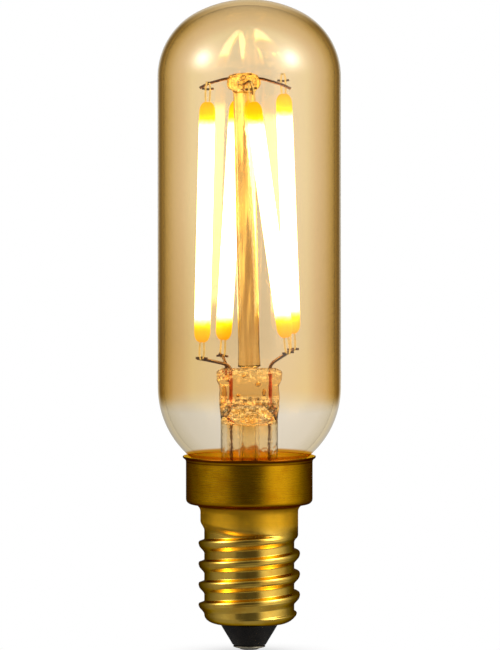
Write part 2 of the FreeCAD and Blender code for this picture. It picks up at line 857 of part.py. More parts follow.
def check():
    doc.recompute()
    for thing in doc.Objects:
        if "Invalid" in thing.State or "Error" in thing.State:
            raise RuntimeError(f"{thing.Label} did not build: {thing.State}")
    for node, thing in parts.items():
        if thing.Shape.isNull() or not thing.Shape.isValid() or not thing.Shape.Solids:
            raise RuntimeError(f"{node} has no sound solid")


build()
check()
os.makedirs("parts", exist_ok=True)
for node, thing in parts.items():
    thing.Shape.exportStep(f"parts/{node}.step")
print(len(parts), "sub-parts written")
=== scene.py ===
import math

import bpy
from mathutils import Matrix, Vector, noise

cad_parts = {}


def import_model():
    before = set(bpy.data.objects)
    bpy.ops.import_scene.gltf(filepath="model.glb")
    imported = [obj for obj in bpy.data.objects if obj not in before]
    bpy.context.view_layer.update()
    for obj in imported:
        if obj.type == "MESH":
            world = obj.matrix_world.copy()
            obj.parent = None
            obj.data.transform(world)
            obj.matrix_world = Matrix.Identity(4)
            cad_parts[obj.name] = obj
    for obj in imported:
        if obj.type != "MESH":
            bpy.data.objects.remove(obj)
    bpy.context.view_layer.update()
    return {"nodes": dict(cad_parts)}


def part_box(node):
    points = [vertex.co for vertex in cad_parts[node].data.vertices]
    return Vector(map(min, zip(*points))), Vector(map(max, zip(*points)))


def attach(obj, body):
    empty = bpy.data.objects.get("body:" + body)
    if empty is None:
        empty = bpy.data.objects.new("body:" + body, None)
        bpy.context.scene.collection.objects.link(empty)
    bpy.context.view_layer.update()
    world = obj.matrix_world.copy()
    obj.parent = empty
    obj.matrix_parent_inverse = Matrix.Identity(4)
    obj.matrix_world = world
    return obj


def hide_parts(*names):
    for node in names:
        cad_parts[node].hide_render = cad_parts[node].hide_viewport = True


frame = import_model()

# A lit tubular filament lamp, dressed over its CAD frame.
# Outlines, routes and heights above the cap's contact are in millimetres, and meshes are made in metres.

MM = 0.001
METRE = 1 / MM
TURN = 2 * math.pi

# The melted glass flows alike in every run
MELT_SEED = 2
noise.seed_set(MELT_SEED)

glass_low, glass_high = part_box("glass_envelope")
cap_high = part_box("cap_shell")[1]
GLASS_FOOT = glass_low[2] / MM
GLASS_TOP = glass_high[2] / MM
TUBE_RADIUS = glass_high[0] / MM
LIP_TOP = cap_high[2] / MM

GLASS_WALL = 0.8
GLASS_NECK = 7.6
AMBER_EDGE = 34.0
PRESS_TOP = 38.6
ROD_TOP = 79.0

COLLAR_RADIUS = 8.65
COLLAR_FLOOR = 20.1
CAP_NECK = 6.68
THREAD_ROOT = 6.15
THREAD_CREST = 6.94
PITCH = 2.822
RIGHT_CREST = 5.08
SHELL_FOOT = 3.6
SHELL_MOUTH = 3.9

# The least radius of a ring, so that a turned shape closes on its axis
AXIS = 0.004

# Meshes


def made(name, vertices, faces, material, crease=35):
    """A smooth-shaded object from points in millimetres, with sharp edges past the crease angle."""
    mesh = bpy.data.meshes.new(name)
    mesh.from_pydata([Vector(v) * MM for v in vertices], [], faces)
    mesh.materials.append(material)
    mesh.polygons.foreach_set("use_smooth", [True] * len(mesh.polygons))
    mesh.set_sharp_from_angle(angle=math.radians(crease))
    piece = bpy.data.objects.new(name, mesh)
    bpy.context.collection.objects.link(piece)
    return piece


def skinned(rings, closed_start=True, looped=False):
    """Vertices and faces of a skin over rings of equal length, closed at its ends or looped."""
    count = len(rings[0])
    vertices = [point for ring in rings for point in ring]
    faces = []
    for at in range(len(rings) if looped else len(rings) - 1):
        here, there = at * count, (at + 1) % len(rings) * count
        for side in range(count):
            ahead = (side + 1) % count
            faces.append((here + side, here + ahead, there + ahead, there + side))
    if not looped:
        if closed_start:
            faces.append(tuple(reversed(range(count))))
        faces.append(tuple(range(len(vertices) - count, len(vertices))))
    return vertices, faces


def joined(skins):
    """The vertices and faces of several skins in one pair of lists."""
    vertices, faces = [], []
    for new_vertices, new_faces in skins:
        shift = len(vertices)
        vertices += new_vertices
        faces += [tuple(corner + shift for corner in face) for face in new_faces]
    return vertices, faces


def parts(count, first=0):
    """The fractions at which a length is cut into equal parts, from the first cut to its end."""
    return [step / count for step in range(first, count + 1)]


def circle(radius, height, segments):
    angles = [TURN * side / segments for side in range(segments)]
    return [(radius * math.cos(a), radius * math.sin(a), height) for a in angles]


def oval(half_width, half_depth, height, segments, squareness):
    """A ring that is an ellipse at a squareness of 2, and squarer above it."""
    ring = []
    for side in range(segments):
        angle = TURN * side / segments
        c, s = math.cos(angle), math.sin(angle)
        x = half_width * math.copysign(abs(c) ** (2 / squareness), c)
        y = half_depth * math.copysign(abs(s) ** (2 / squareness), s)
        ring.append((x, y, height))
    return ring


def turned(name, outline, material, segments, looped=True):
    """A shape turned about Z; a looped outline closes on itself, as a tube's wall does."""
    rings = [circle(radius, height, segments) for radius, height in outline]
    vertices, faces = skinned(rings, looped=looped)
    return made(name, vertices, faces, material)


def arc(x, z, radius, start, end, steps):
    """Points along an arc about (x, z), from one angle in degrees to the other."""
    points = []
    for step in range(steps + 1):
        angle = math.radians(start + (end - start) * step / steps)
        points.append((x + radius * math.cos(angle), z + radius * math.sin(angle)))
    return points


def smooth(value):
    """0 to 1 as the value goes from 0 to 1, with a soft start and end."""
    value = min(max(value, 0.0), 1.0)
    return value * value * (3 - 2 * value)


def melted(point, amount, pitch):
    """The point moved as soft glass or solder flows."""
    at = Vector(point)
    push = noise.noise_vector(at * pitch)
    return tuple(at + push * amount)


def dressed(piece, node):
    """The piece rides on the lamp and stands for the node, which it hides."""
    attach(piece, "root")
    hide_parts(node)


# Node trees


class Nodes:
    """A node tree with short calls for the nodes in it."""

    def __init__(self, tree):
        self.tree = tree

    def node(self, kind, **settings):
        new_node = self.tree.nodes.new(kind)
        for setting, value in settings.items():
            setattr(new_node, setting, value)
        return new_node

    def link(self, source, target):
        self.tree.links.new(source, target)

    def feed(self, socket, value):
        """Gives a socket a number, a colour or what another node puts out."""
        if isinstance(value, bpy.types.NodeSocket):
            self.link(value, socket)
        elif isinstance(value, tuple):
            socket.default_value = value + (1,)
        else:
            socket.default_value = value

    def maths(self, operation, *values):
        step = self.node("ShaderNodeMath", operation=operation)
        for socket, value in zip(step.inputs, values):
            self.feed(socket, value)
        return step.outputs[0]

    def split(self, vector):
        """The outputs X, Y and Z of a vector."""
        parted = self.node("ShaderNodeSeparateXYZ")
        self.link(vector, parted.inputs[0])
        return parted.outputs

    def ramp(self, source, stops):
        """Colours at stops along the source, as pairs of position and colour."""
        band = self.node("ShaderNodeValToRGB")
        elements = band.color_ramp.elements
        while len(elements) < len(stops):
            elements.new(0.5)
        for element, (position, colour) in zip(elements, stops):
            element.position = position
            element.color = colour + (1,)
        self.link(source, band.inputs[0])
        return band.outputs["Color"]

    def span(self, source, low, high, to_low=0.0, to_high=1.0, kind="LINEAR"):
        """The source carried from one range to another, and held at its ends."""
        carried = self.node("ShaderNodeMapRange", interpolation_type=kind)
        for socket, value in zip(carried.inputs[1:], (low, high, to_low, to_high)):
            socket.default_value = value
        self.link(source, carried.inputs[0])
        return carried.outputs[0]

    def band(self, source, start, end, edge):
        """1 between two values of the source and 0 beyond them, blurred by the edge to each side."""
        return self.maths("SUBTRACT", self.span(source, start - edge, start + edge),
                          self.span(source, end - edge, end + edge))

    def mix(self, factor, first, second, blend="MIX"):
        mixer = self.node("ShaderNodeMix", data_type="RGBA", blend_type=blend)
        # The colour sockets of this node are its seventh and eighth
        for place, value in ((0, factor), (6, first), (7, second)):
            self.feed(mixer.inputs[place], value)
        return mixer.outputs[2]


class Look(Nodes):
    """A material with its Principled shader and calls for the patterns that feed it."""

    def __init__(self, name, **sockets):
        self.material = bpy.data.materials.new(name)
        self.material.use_nodes = True
        super().__init__(self.material.node_tree)
        self.shader = self.tree.nodes["Principled BSDF"]
        self.out = self.tree.nodes["Material Output"]
        self.set(**sockets)

    def set(self, **sockets):
        """Feeds the shader's sockets, named with underscores for spaces."""
        for socket, value in sockets.items():
            self.feed(self.shader.inputs[socket.replace("_", " ")], value)

    def surface(self, share, first, second):
        """Two shaders as the material's surface, the second one by its share."""
        both = self.node("ShaderNodeMixShader")
        for socket, source in zip(both.inputs, (share, first, second)):
            self.link(source, socket)
        self.link(both.outputs[0], self.out.inputs["Surface"])

    def place(self):
        return self.node("ShaderNodeTexCoord").outputs["Object"]

    def height(self):
        """The height above the contact, in millimetres."""
        return self.maths("MULTIPLY", self.split(self.place())["Z"], METRE)

    def turned_away(self):
        """0 where the surface faces the eye, to 1 at its edge."""
        weight = self.node("ShaderNodeLayerWeight")
        weight.inputs["Blend"].default_value = 0.5
        return weight.outputs["Facing"]

    def grain(self, scale, stretch=(1, 1, 1), detail=4, rough=0.55):
        """Noise from 0 to 1 whose scale is in grains per millimetre."""
        mapping = self.node("ShaderNodeMapping")
        mapping.inputs["Scale"].default_value = [s * METRE for s in stretch]
        self.link(self.place(), mapping.inputs["Vector"])
        texture = self.node("ShaderNodeTexNoise")
        texture.inputs["Scale"].default_value = scale
        texture.inputs["Detail"].default_value = detail
        texture.inputs["Roughness"].default_value = rough
        self.link(mapping.outputs[0], texture.inputs["Vector"])
        return texture.outputs["Fac"]

    def bump(self, source, strength, depth):
        """Relief whose depth is in millimetres."""
        relief = self.node("ShaderNodeBump")
        relief.inputs["Strength"].default_value = strength
        relief.inputs["Distance"].default_value = depth * MM
        self.link(source, relief.inputs["Height"])
        self.set(Normal=relief.outputs[0])


def grey(level):
    return (level, level, level)


def scaled(colour, factor):
    return tuple(part * factor for part in colour)


# Glass materials


def glass_skin(look, away, height, tint, gloss_share, gloss_tint):
    """Blown glass as a thin skin: tinted light comes through, and the lamps glance off, most at its edge."""
    gloss_heights = (35, 43)
    through = look.node("ShaderNodeBsdfTransparent")
    look.feed(through.inputs["Color"], tint)
    gloss = look.node("ShaderNodeBsdfGlossy")
    look.feed(gloss.inputs["Roughness"], 0.03)
    look.feed(gloss.inputs["Color"], gloss_tint)
    share = look.maths("MULTIPLY_ADD", look.maths("POWER", away, 6), 0.2, gloss_share)
    share = look.maths("MULTIPLY", share, look.span(height, *gloss_heights, 0.1, 1.0))
    look.surface(share, through.outputs[0], gloss.outputs[0])
    return look.material


def amber_glass():
    """The outside of the tube: clear at its foot, amber above and paler on its crown.

    Each tint's stops run from glass that faces the eye, at 0, to its edge, at 1; the pale last stops paint a
    highlight along the edge of the glass.
    """
    clear = [(0.0, (0.88, 0.83, 0.75)), (0.40, (0.87, 0.81, 0.71)), (0.70, (0.79, 0.72, 0.58)),
             (0.85, (0.72, 0.675, 0.60)), (1.0, (0.78, 0.755, 0.71))]
    # Painted glow: the glass just above the lip is tinted orange for the lit rim seen through it
    painted_rim_glow = [(0.0, (0.60, 0.26, 0.01)), (1.0, (0.64, 0.32, 0.02))]
    amber = [(0.0, (0.955, 0.83, 0.64)), (0.22, (0.97, 0.84, 0.59)), (0.32, (0.93, 0.765, 0.52)),
             (0.44, (0.88, 0.71, 0.445)), (0.545, (0.80, 0.62, 0.315)), (0.62, (0.70, 0.53, 0.24)),
             (0.67, (0.555, 0.40, 0.155)), (0.74, (0.45, 0.325, 0.13)), (0.79, (0.50, 0.38, 0.20)),
             (0.86, (0.80, 0.74, 0.64)), (1.0, (0.95, 0.93, 0.90))]
    crown = [(0.0, (0.955, 0.835, 0.63)), (0.45, (0.90, 0.75, 0.515)), (0.75, (0.86, 0.72, 0.49)),
             (0.9, (0.90, 0.80, 0.64)), (1.0, (0.95, 0.90, 0.84))]
    # The heights between which each tint takes over from the one below it
    coats = [(LIP_TOP - 0.1, LIP_TOP, painted_rim_glow), (LIP_TOP + 0.3, LIP_TOP + 0.55, clear),
             (AMBER_EDGE - 0.9, AMBER_EDGE + 0.9, amber),
             (GLASS_TOP - 3.8, GLASS_TOP - 0.6, crown)]
    look = Look("amber_coated_glass")
    away, height = look.turned_away(), look.height()
    tint = look.ramp(away, clear)
    for low, high, stops in coats:
        tint = look.mix(look.span(height, low, high), tint, look.ramp(away, stops))

    # Above the amber's edge the tint is a little darker and warmer, and it fades to the plain tint between
    # these heights
    darker_amber_heights = (36, 64)
    depth = look.ramp(look.span(height, *darker_amber_heights), [(0.0, (0.94, 0.91, 0.86)), (1.0, grey(1.0))])
    depth = look.mix(look.span(height, AMBER_EDGE - 1, AMBER_EDGE + 1), grey(1.0), depth)
    tint = look.mix(1.0, tint, depth, "MULTIPLY")

    # Painted shade: the tube is a little darker on its left, most at its foot
    left = look.span(look.split(look.place())["X"], -9 * MM, 0, 1.0, 0.0)
    left_shade_heights = (34, 60)
    painted_left_shade = look.ramp(look.span(height, *left_shade_heights),
                     [(0.0, (0.93, 0.93, 0.92)), (0.25, (0.95, 0.94, 0.87)), (1.0, grey(1.0))])
    tint = look.mix(1.0, tint, look.mix(left, grey(1.0), painted_left_shade), "MULTIPLY")
    return glass_skin(look, away, height, tint, 0.065, grey(1.0))


def inner_glass():
    """The inside of the tube, which the lit bars show on."""
    look = Look("clear_inner_face")
    away, height = look.turned_away(), look.height()
    tint = look.ramp(away, [(0.0, grey(1.0)), (0.8, grey(0.97)), (1.0, grey(0.88))])
    return glass_skin(look, away, height, tint, 0.045, (1.0, 0.74, 0.24))


def solid_glass(name, low, high, stops):
    """The look of drawn glass, which bends what is seen through it, its height and its tint by height."""
    look = Look(name, Roughness=0.0, IOR=1.5, Transmission_Weight=1.0)
    height = look.height()
    return look, height, look.ramp(look.span(height, low, high), stops)


def crumpled(look, height, lumps):
    """Relief of melted glass, strongest in the lumps' height ranges, and painted glints in them: emission
    that stands in for light caught in the folds.
    """
    bands = None
    for start, end in lumps:
        band = look.band(height, start, end, 0.3)
        bands = band if bands is None else look.maths("ADD", bands, band)
    folds = look.grain(1.3, detail=2)
    look.bump(look.maths("MULTIPLY", folds, look.maths("ADD", bands, 0.12)), 0.8, 0.5)
    painted_glints = look.span(look.grain(1.7, detail=3, rough=0.6), 0.5, 0.64)
    return look.maths("MULTIPLY", look.maths("MULTIPLY", painted_glints, bands), 0.75)


def stem_glass():
    look, height, tint = solid_glass("stem_glass", 21.0, PRESS_TOP, [
        (0.0, (0.96, 0.87, 0.70)), (0.45, (0.98, 0.86, 0.64)), (0.62, (0.97, 0.74, 0.38)),
        (0.72, (0.93, 0.68, 0.33)), (0.78, (0.80, 0.56, 0.24)), (0.87, (0.92, 0.68, 0.33)),
        (1.0, (0.97, 0.72, 0.32))])
    painted_glints = crumpled(look, height, [(32.4, 34.6), (37.2, 39.0)])
    # Painted light: the press's glints are emission, not a lamp
    look.set(Base_Color=tint, Emission_Color=(1.0, 0.6, 0.2), Emission_Strength=painted_glints)
    return look.material


def rod_glass():
    """Rod glass with the lines of its drawing, which glow with painted light for the bars' light, and a
    melted bead.
    """
    look, height, tint = solid_glass("rod_glass", PRESS_TOP, ROD_TOP, [
        (0.0, (1.0, 0.74, 0.34)), (0.9, (1.0, 0.80, 0.42)), (1.0, (1.0, 0.70, 0.20))])
    drawn = look.grain(1.4, stretch=(1, 1, 0.05), detail=3)
    lines = look.ramp(drawn, [(0.35, (0.72, 0.58, 0.40)), (0.6, grey(1.0))])
    painted_glints = crumpled(look, height, [(76.9, 79.4)])
    # Painted light: beside the bars the drawing's lines glow by emission, as if they caught the bars' light
    bar_heights = (42, 52)
    lit = look.maths("MULTIPLY", look.span(drawn, 0.49, 0.62), look.span(height, *bar_heights))
    look.set(Base_Color=look.mix(1.0, tint, lines, "MULTIPLY"), Emission_Color=(1.0, 0.6, 0.1),
             Emission_Strength=look.maths("ADD", painted_glints, look.maths("MULTIPLY", lit, 0.8)))
    return look.material


def exhaust_glass():
    look, _, tint = solid_glass("exhaust_glass", 20.0, 32.0,
                                [(0.0, (1.0, 0.97, 0.90)), (1.0, (1.0, 0.95, 0.80))])
    look.set(Base_Color=tint)
    return look.material


def black_glass():
    look = Look("black_moulded_glass", Specular_IOR_Level=0.22)
    ripple = look.grain(0.8, detail=3)
    look.set(Base_Color=look.ramp(ripple, [(0.3, (0.004, 0.003, 0.003)), (0.7, (0.010, 0.008, 0.006))]),
             Roughness=look.span(ripple, 0.2, 0.8, 0.3, 0.2))
    look.bump(ripple, 0.25, 0.05)
    return look.material


# Metals and the other materials


def brass(name, colour, roughness, scratches, grain, heat_tint_and_shade, neck_colour=None):
    """Drawn brass: scratches turned round the axis, fine grain, warm stains and dark bands of heat tint and
    painted shade.

    The roughness is a pair, for below and above the neck's foot, and the neck may have a colour of its
    own. Each dark band is its start, its end and the blur of its edges.
    """
    neck_gloss, neck_tone = (15.8, 17.4), (15.4, 17.6)
    look = Look(name, Metallic=1.0, Specular_Tint=(0.50, 0.30, 0.06))
    height = look.height()
    stain = look.grain(0.35, detail=5, rough=0.6)
    pale = tuple(min(part * 1.08, 1) for part in colour)
    deep = (colour[0] * 0.82, colour[1] * 0.70, colour[2] * 0.5)
    tone = look.ramp(stain, [(0.32, deep), (0.55, colour), (0.75, pale)])
    if neck_colour:
        neck = look.ramp(stain, [(0.32, scaled(neck_colour, 0.72)), (0.7, neck_colour)])
        tone = look.mix(look.span(height, *neck_tone), tone, neck)
    for start, end, edge in heat_tint_and_shade:
        tone = look.mix(look.band(height, start, end, edge), tone, (0.20, 0.05, 0.002))
    marks = look.grain(0.6, stretch=(0.4, 0.4, 14), detail=6, rough=0.7)
    rough = look.maths("MULTIPLY", look.span(height, *neck_gloss, *roughness),
                       look.span(marks, 0.25, 0.8, 0.75, 1.3))
    look.set(Base_Color=tone, Roughness=rough)
    look.bump(look.maths("MULTIPLY_ADD", look.grain(7, detail=3), grain, marks), scratches, 0.03)
    return look.material


def collar_brass():
    # The top band is the lip's heat tint; the thin band under the lip's bead and the band on the collar's
    # lower corner are painted shade, in the crease under the bead and under the collar
    heat_tint_and_shade = [(LIP_TOP - 0.4, LIP_TOP + 0.2, 0.05), (LIP_TOP - 0.77, LIP_TOP - 0.65, 0.04),
              (COLLAR_FLOOR, COLLAR_FLOOR + 0.3, 0.12)]
    return brass("collar_brass", (0.58, 0.28, 0.004), (0.28, 0.28), 0.16, 0.7, heat_tint_and_shade)


def thread_brass():
    # Painted shade on the neck's fillet under the collar
    heat_tint_and_shade = [(COLLAR_FLOOR - 0.35, COLLAR_FLOOR, 0.15)]
    return brass("thread_brass", (0.93, 0.60, 0.10), (0.15, 0.54), 0.15, 0.3, heat_tint_and_shade, (0.77, 0.41, 0.018))


def rim_brass():
    """The inside of the rim, browned by heat, with a painted glow, an emission for the light of the bars on
    it.
    """
    look = Look("heated_rim_brass_painted_glow", Metallic=0.25, Emission_Color=(1.0, 0.75, 0.0), Emission_Strength=0.26)
    stain = look.grain(0.5, stretch=(1, 1, 0.4), detail=5)
    look.set(Base_Color=look.ramp(stain, [(0.3, (0.95, 0.36, 0.01)), (0.7, (1.0, 0.56, 0.03))]),
             Roughness=look.span(stain, 0.3, 0.7, 0.5, 0.35))
    look.bump(stain, 0.3, 0.03)
    return look.material


def metal(name, colour, roughness, metallic=1.0, lit=0.0):
    """Speckled metal; lit is the strength of a painted glow, an emission for the bars' light on it."""
    look = Look(name, Metallic=metallic)
    # Painted light: the emission stands in for the bars' light
    if lit:
        look.set(Emission_Color=(1.0, 0.66, 0.16), Emission_Strength=lit)
    spots = look.grain(2.0, detail=5)
    look.set(Base_Color=look.ramp(spots, [(0.3, scaled(colour, 0.55)), (0.6, colour)]),
             Roughness=look.span(spots, 0.2, 0.8, roughness * 1.4, roughness * 0.7))
    look.bump(spots, 0.4, 0.02)
    return look.material


def lead_metal():
    """Nickel-iron wire, copper-clad where the glass grips it."""
    look = Look("lead_wire_metal", Metallic=1.0, Roughness=0.32)
    height = look.height()
    clad_foot = (32.6, 33.4)
    above = look.span(height, PRESS_TOP - 0.9, PRESS_TOP - 0.3)
    below = look.span(height, *clad_foot)
    plain = look.ramp(look.grain(1.5, detail=4), [(0.3, (0.22, 0.12, 0.06)), (0.7, (0.45, 0.29, 0.17))])
    look.set(Base_Color=look.mix(look.maths("SUBTRACT", below, above), plain, (0.72, 0.16, 0.04)))
    look.bump(look.grain(3.0, detail=3), 0.3, 0.02)
    return look.material


def moulded(name, colour, roughness):
    look = Look(name)
    spots = look.grain(3.0, detail=5)
    look.set(Base_Color=look.ramp(spots, [(0.3, scaled(colour, 0.7)), (0.7, colour)]),
             Roughness=look.span(spots, 0.2, 0.8, roughness * 1.2, roughness * 0.8))
    look.bump(spots, 0.25, 0.02)
    return look.material


def phosphor(name, foot, top):
    """White-hot along the middle of a bar and deep yellow for two millimetres at its ends."""
    glow = 9.0
    look = Look(name, Base_Color=(0.8, 0.45, 0.0), Roughness=0.6, Specular_IOR_Level=0.1)
    height = look.height()
    inside = look.maths("MINIMUM", look.maths("SUBTRACT", height, foot),
                        look.maths("SUBTRACT", top, height))
    mottle = look.span(look.grain(1.6, detail=3), 0.3, 0.7, -0.12, 0.12)
    level = look.span(look.maths("ADD", inside, mottle), 0.0, 5.0)
    colour = look.ramp(level, [(0.0, (1.0, 0.42, 0.0)), (0.22, (1.0, 0.55, 0.0)),
                               (0.44, (1.0, 0.68, 0.0)), (0.56, (1.0, 0.84, 0.18)),
                               (0.72, (1.0, 0.88, 0.50)), (1.0, (1.0, 0.86, 0.48))])
    power = look.ramp(level, [(0.0, grey(0.08)), (0.3, grey(0.098)), (0.46, grey(0.18)),
                              (0.56, grey(0.6)), (0.72, grey(1.0))])
    look.set(Emission_Color=colour, Emission_Strength=look.maths("MULTIPLY", power, glow))
    return look.material


# Glass pieces


def envelope_side(inset):
    """The side of the blown tube from its crown to its neck, moved in by the inset."""
    crown, shoulder, round_end = 15.5, 10.0, 36.1
    reach = TUBE_RADIUS - shoulder
    meet = math.degrees(math.acos(reach / (crown - shoulder)))
    crown_z = GLASS_TOP - crown
    shoulder_z = crown_z + (crown - shoulder) * math.sin(math.radians(meet))
    low = math.degrees(math.acos((GLASS_NECK - inset) / (TUBE_RADIUS - inset)))
    side = arc(0, crown_z, crown - inset, 90, meet, 16)
    side += arc(reach, shoulder_z, shoulder - inset, meet, 0, 28)[1:]
    side += arc(0, round_end, TUBE_RADIUS - inset, 0, -low, 24)
    return side


def blown(point):
    """The point moved by the slight waver of blown glass, which dies out towards the axis."""
    waver, pitch, least_reach = 0.035, 0.13, 6.0
    at = Vector(point)
    push = waver * noise.noise(at * pitch)
    scale = 1 + push / max(at.xy.length, least_reach)
    return (at.x * scale, at.y * scale, at.z)


def envelope():
    segments = 144
    outside = envelope_side(0) + [(GLASS_NECK, GLASS_FOOT)]
    inside = envelope_side(GLASS_WALL) + [(GLASS_NECK - GLASS_WALL, GLASS_FOOT)]
    rings = [circle(max(r, AXIS), z, segments) for r, z in outside + inside[::-1]]
    rings = [[blown(point) for point in ring] for ring in rings]
    vertices, faces = skinned(rings, looped=True)
    piece = made("blown_envelope", vertices, faces, amber_glass(), crease=60)
    piece.data.materials.append(inner_glass())
    first_inner = len(outside) * segments
    for polygon in piece.data.polygons:
        polygon.material_index = int(min(polygon.vertices) >= first_inner)
    dressed(piece, "glass_envelope")


# Hollows left in the pinched press, as middle and half sizes
BUBBLES = [((-3.35, -0.55, 34.5), (0.44, 0.3, 2.0)), ((-2.92, -0.75, 37.4), (0.42, 0.3, 0.42)),
           ((1.17, -0.8, 36.6), (0.4, 0.28, 0.36)), ((0.3, -0.55, 33.6), (1.45, 0.35, 0.42)),
           ((-1.5, -0.6, 34.9), (0.35, 0.3, 0.3)), ((2.0, -0.9, 35.4), (0.3, 0.25, 0.55)),
           ((-0.6, -0.7, 37.6), (0.5, 0.25, 0.24))]


def hollow(middle, half):
    """A closed ball drawn out to its half sizes along the axes, and turned inside out."""
    segments, rows = 28, 14
    rings = []
    for part in parts(rows):
        tilt = math.pi * (part - 0.5)
        wide = max(math.cos(tilt), 0.01)
        rings.append([(middle[0] + half[0] * x * wide, middle[1] + half[1] * y * wide,
                       middle[2] + half[2] * math.sin(tilt)) for x, y, _ in circle(1, 0, segments)])
    vertices, faces = skinned(rings)
    return vertices, [face[::-1] for face in faces]


def stem():
    """Flare, tube and pinched press, blended in one skin, with the press's bubbles."""
    segments = 96
    flare_rim, flare_foot, flare_curve, bore_curve = 7.55, 21.22, 2.9, 3.7
    tube, bore = 3.9, 3.1
    tube_foot, tube_top, bore_top = flare_foot + flare_curve, 31.6, 30.9
    pinch, bore_pinch = 2.6, 1.5
    press_foot = tube_top + pinch
    half_width, half_depth = 4.1, 1.45

    rings = [circle(flare_rim, flare_foot, segments)]
    for r, z in arc(tube + flare_curve, tube_foot, flare_curve, 270, 180, 14):
        rings.append(circle(r, z, segments))
    for part in parts(8, 1):
        rings.append(circle(tube, tube_foot + (tube_top - tube_foot) * part, segments))
    for part in parts(16, 1):
        flat = smooth(part)
        ring = oval(tube + 0.22 * flat, tube - (tube - half_depth) * flat, tube_top + pinch * part,
                    segments, 2 + 1.6 * flat)
        rings.append([melted(p, 0.12 * flat, 0.55) for p in ring])
    for part in parts(20, 1):
        swell = smooth((part - 0.45) / 0.2) * 0.3
        tuck = smooth((part - 0.86) / 0.14) ** 2 * 0.7
        ring = oval(half_width + swell - tuck, half_depth + swell - tuck,
                    press_foot + (PRESS_TOP - press_foot) * part, segments, 3.6)
        rings.append([melted(p, 0.16, 0.6) for p in ring])
    top = [melted((x * 0.72, y * 0.6, PRESS_TOP + 0.02), 0.2, 0.6) for x, y, _ in rings[-1]]
    rings += [top, [melted((x * 0.3, y * 0.3, PRESS_TOP + 0.05), 0.1, 0.6) for x, y, _ in top]]

    inner = [circle(flare_rim, flare_foot - GLASS_WALL, segments)]
    for r, z in arc(bore + bore_curve, tube_foot, bore_curve, 270, 180, 12):
        inner.append(circle(r, z, segments))
    for part in parts(6, 1):
        inner.append(circle(bore, tube_foot + (bore_top - tube_foot) * part, segments))
    for part in parts(10, 1):
        flat = smooth(part)
        ring = oval(bore - 0.5 * flat, bore - 2.75 * flat, bore_top + bore_pinch * part, segments, 2 + flat)
        inner.append([melted(p, 0.1 * flat, 0.7) for p in ring])

    vertices, faces = joined([skinned(inner[::-1] + rings)] + [hollow(*bubble) for bubble in BUBBLES])
    piece = made("stem_and_press", vertices, faces, stem_glass(), crease=70)
    dressed(piece, "glass_stem")


def exhaust():
    """The narrow tube inside the stem, sealed to a tip at its foot."""
    top = 32.1
    outside = [(AXIS, 18.25), (0.3, 18.3), (0.75, 18.4), (1.15, 18.9), (1.4, 19.8), (1.4, top)]
    inside = [(0.85, top), (0.85, 19.9), (0.6, 19.4), (AXIS, 19.1)]
    piece = turned("exhaust_glass", outside + inside, exhaust_glass(), 64, looped=False)
    dressed(piece, "exhaust_tube")


def rod():
    """The leaning rod, thickened at its foot and head by the flame, with the bead on top."""
    segments, row, lean_angle = 64, 1.2, -1.1
    foot = PRESS_TOP + 0.06
    length = ROD_TOP - foot
    outline = [(AXIS, 0), (1.1, 0.0), (1.55, 0.25), (1.5, 1.0), (1.45, 2.2), (1.45, length - 3.4),
               (1.46, length - 2.8), (1.62, length - 2.4), (2.1, length - 2.1), (2.3, length - 1.6),
               (2.26, length - 0.95), (1.95, length - 0.4), (1.2, length - 0.06), (AXIS, length)]
    rings = []
    for (r, z), (_, ahead) in zip(outline, outline[1:] + outline[-1:]):
        steps = max(1, int((ahead - z) / row))
        for step in range(steps):
            rings.append(circle(r, z + (ahead - z) * step / steps, segments))
    lean = Matrix.Rotation(math.radians(lean_angle), 3, "Y")
    shift = Vector((0, 0, foot))
    bent = []
    for ring in rings:
        soft = 0.12 * smooth((ring[0][2] - length + 4) / 2)
        bent.append([tuple(lean @ Vector(melted(p, soft, 0.9)) + shift) for p in ring])
    vertices, faces = skinned(bent)
    piece = made("rod_and_bead", vertices, faces, rod_glass(), crease=60)
    dressed(piece, "centre_rod")


# Filament bars and the clips on their ends


def bar_axes(number):
    """Foot, top, and the directions along, broad and thin of a bar, read from its solid."""
    end_depth = 0.3 * MM
    points = [v.co.copy() for v in frame["nodes"][f"filament_{number}"].data.vertices]
    low, high = min(points, key=lambda p: p.z), max(points, key=lambda p: p.z)
    along = (high - low).normalized()
    for _ in range(4):
        places = [p.dot(along) for p in points]
        foot = [p for p, at in zip(points, places) if at < min(places) + end_depth]
        top = [p for p, at in zip(points, places) if at > max(places) - end_depth]
        foot_middle = sum(foot, Vector()) / len(foot)
        top_middle = sum(top, Vector()) / len(top)
        along = (top_middle - foot_middle).normalized()
    broad = Vector((1, 0, 0))
    broad = (broad - along * broad.dot(along)).normalized()
    thin = along.cross(broad)
    foot, top = foot_middle / MM, top_middle / MM
    return foot, top, (top - foot).normalized(), broad, thin


def bar(number):
    """A glowing bar, blunt and rounded at its ends."""
    segments, half_width, half_depth = 36, 1.1, 0.75
    rounding, blunt = 1.4, 0.28
    foot, top, along, broad, thin = bar_axes(number)
    length = (top - foot).length
    ends = [0, 0.02, 0.08, 0.2, 0.4, 0.7, 1.05, rounding]
    middle = [rounding + (length - 2 * rounding) * part for part in parts(44, 1)[:-1]]
    rings = []
    for place in ends + middle + [length - e for e in ends[::-1]]:
        near = min(place, length - place)
        full = math.sqrt(1 - (1 - min(near / rounding, 1)) ** 2) * (1 - blunt) + blunt
        rings.append([tuple(foot + along * place + broad * x + thin * y)
                      for x, y, _ in oval(half_width * full, half_depth * full, 0, segments, 2.5)])
    vertices, faces = skinned(rings)
    glow = phosphor(f"phosphor_glow_{number}", foot.z, top.z)
    piece = made(f"filament_{number}_glow", vertices, faces, glow, crease=70)
    dressed(piece, f"filament_{number}")


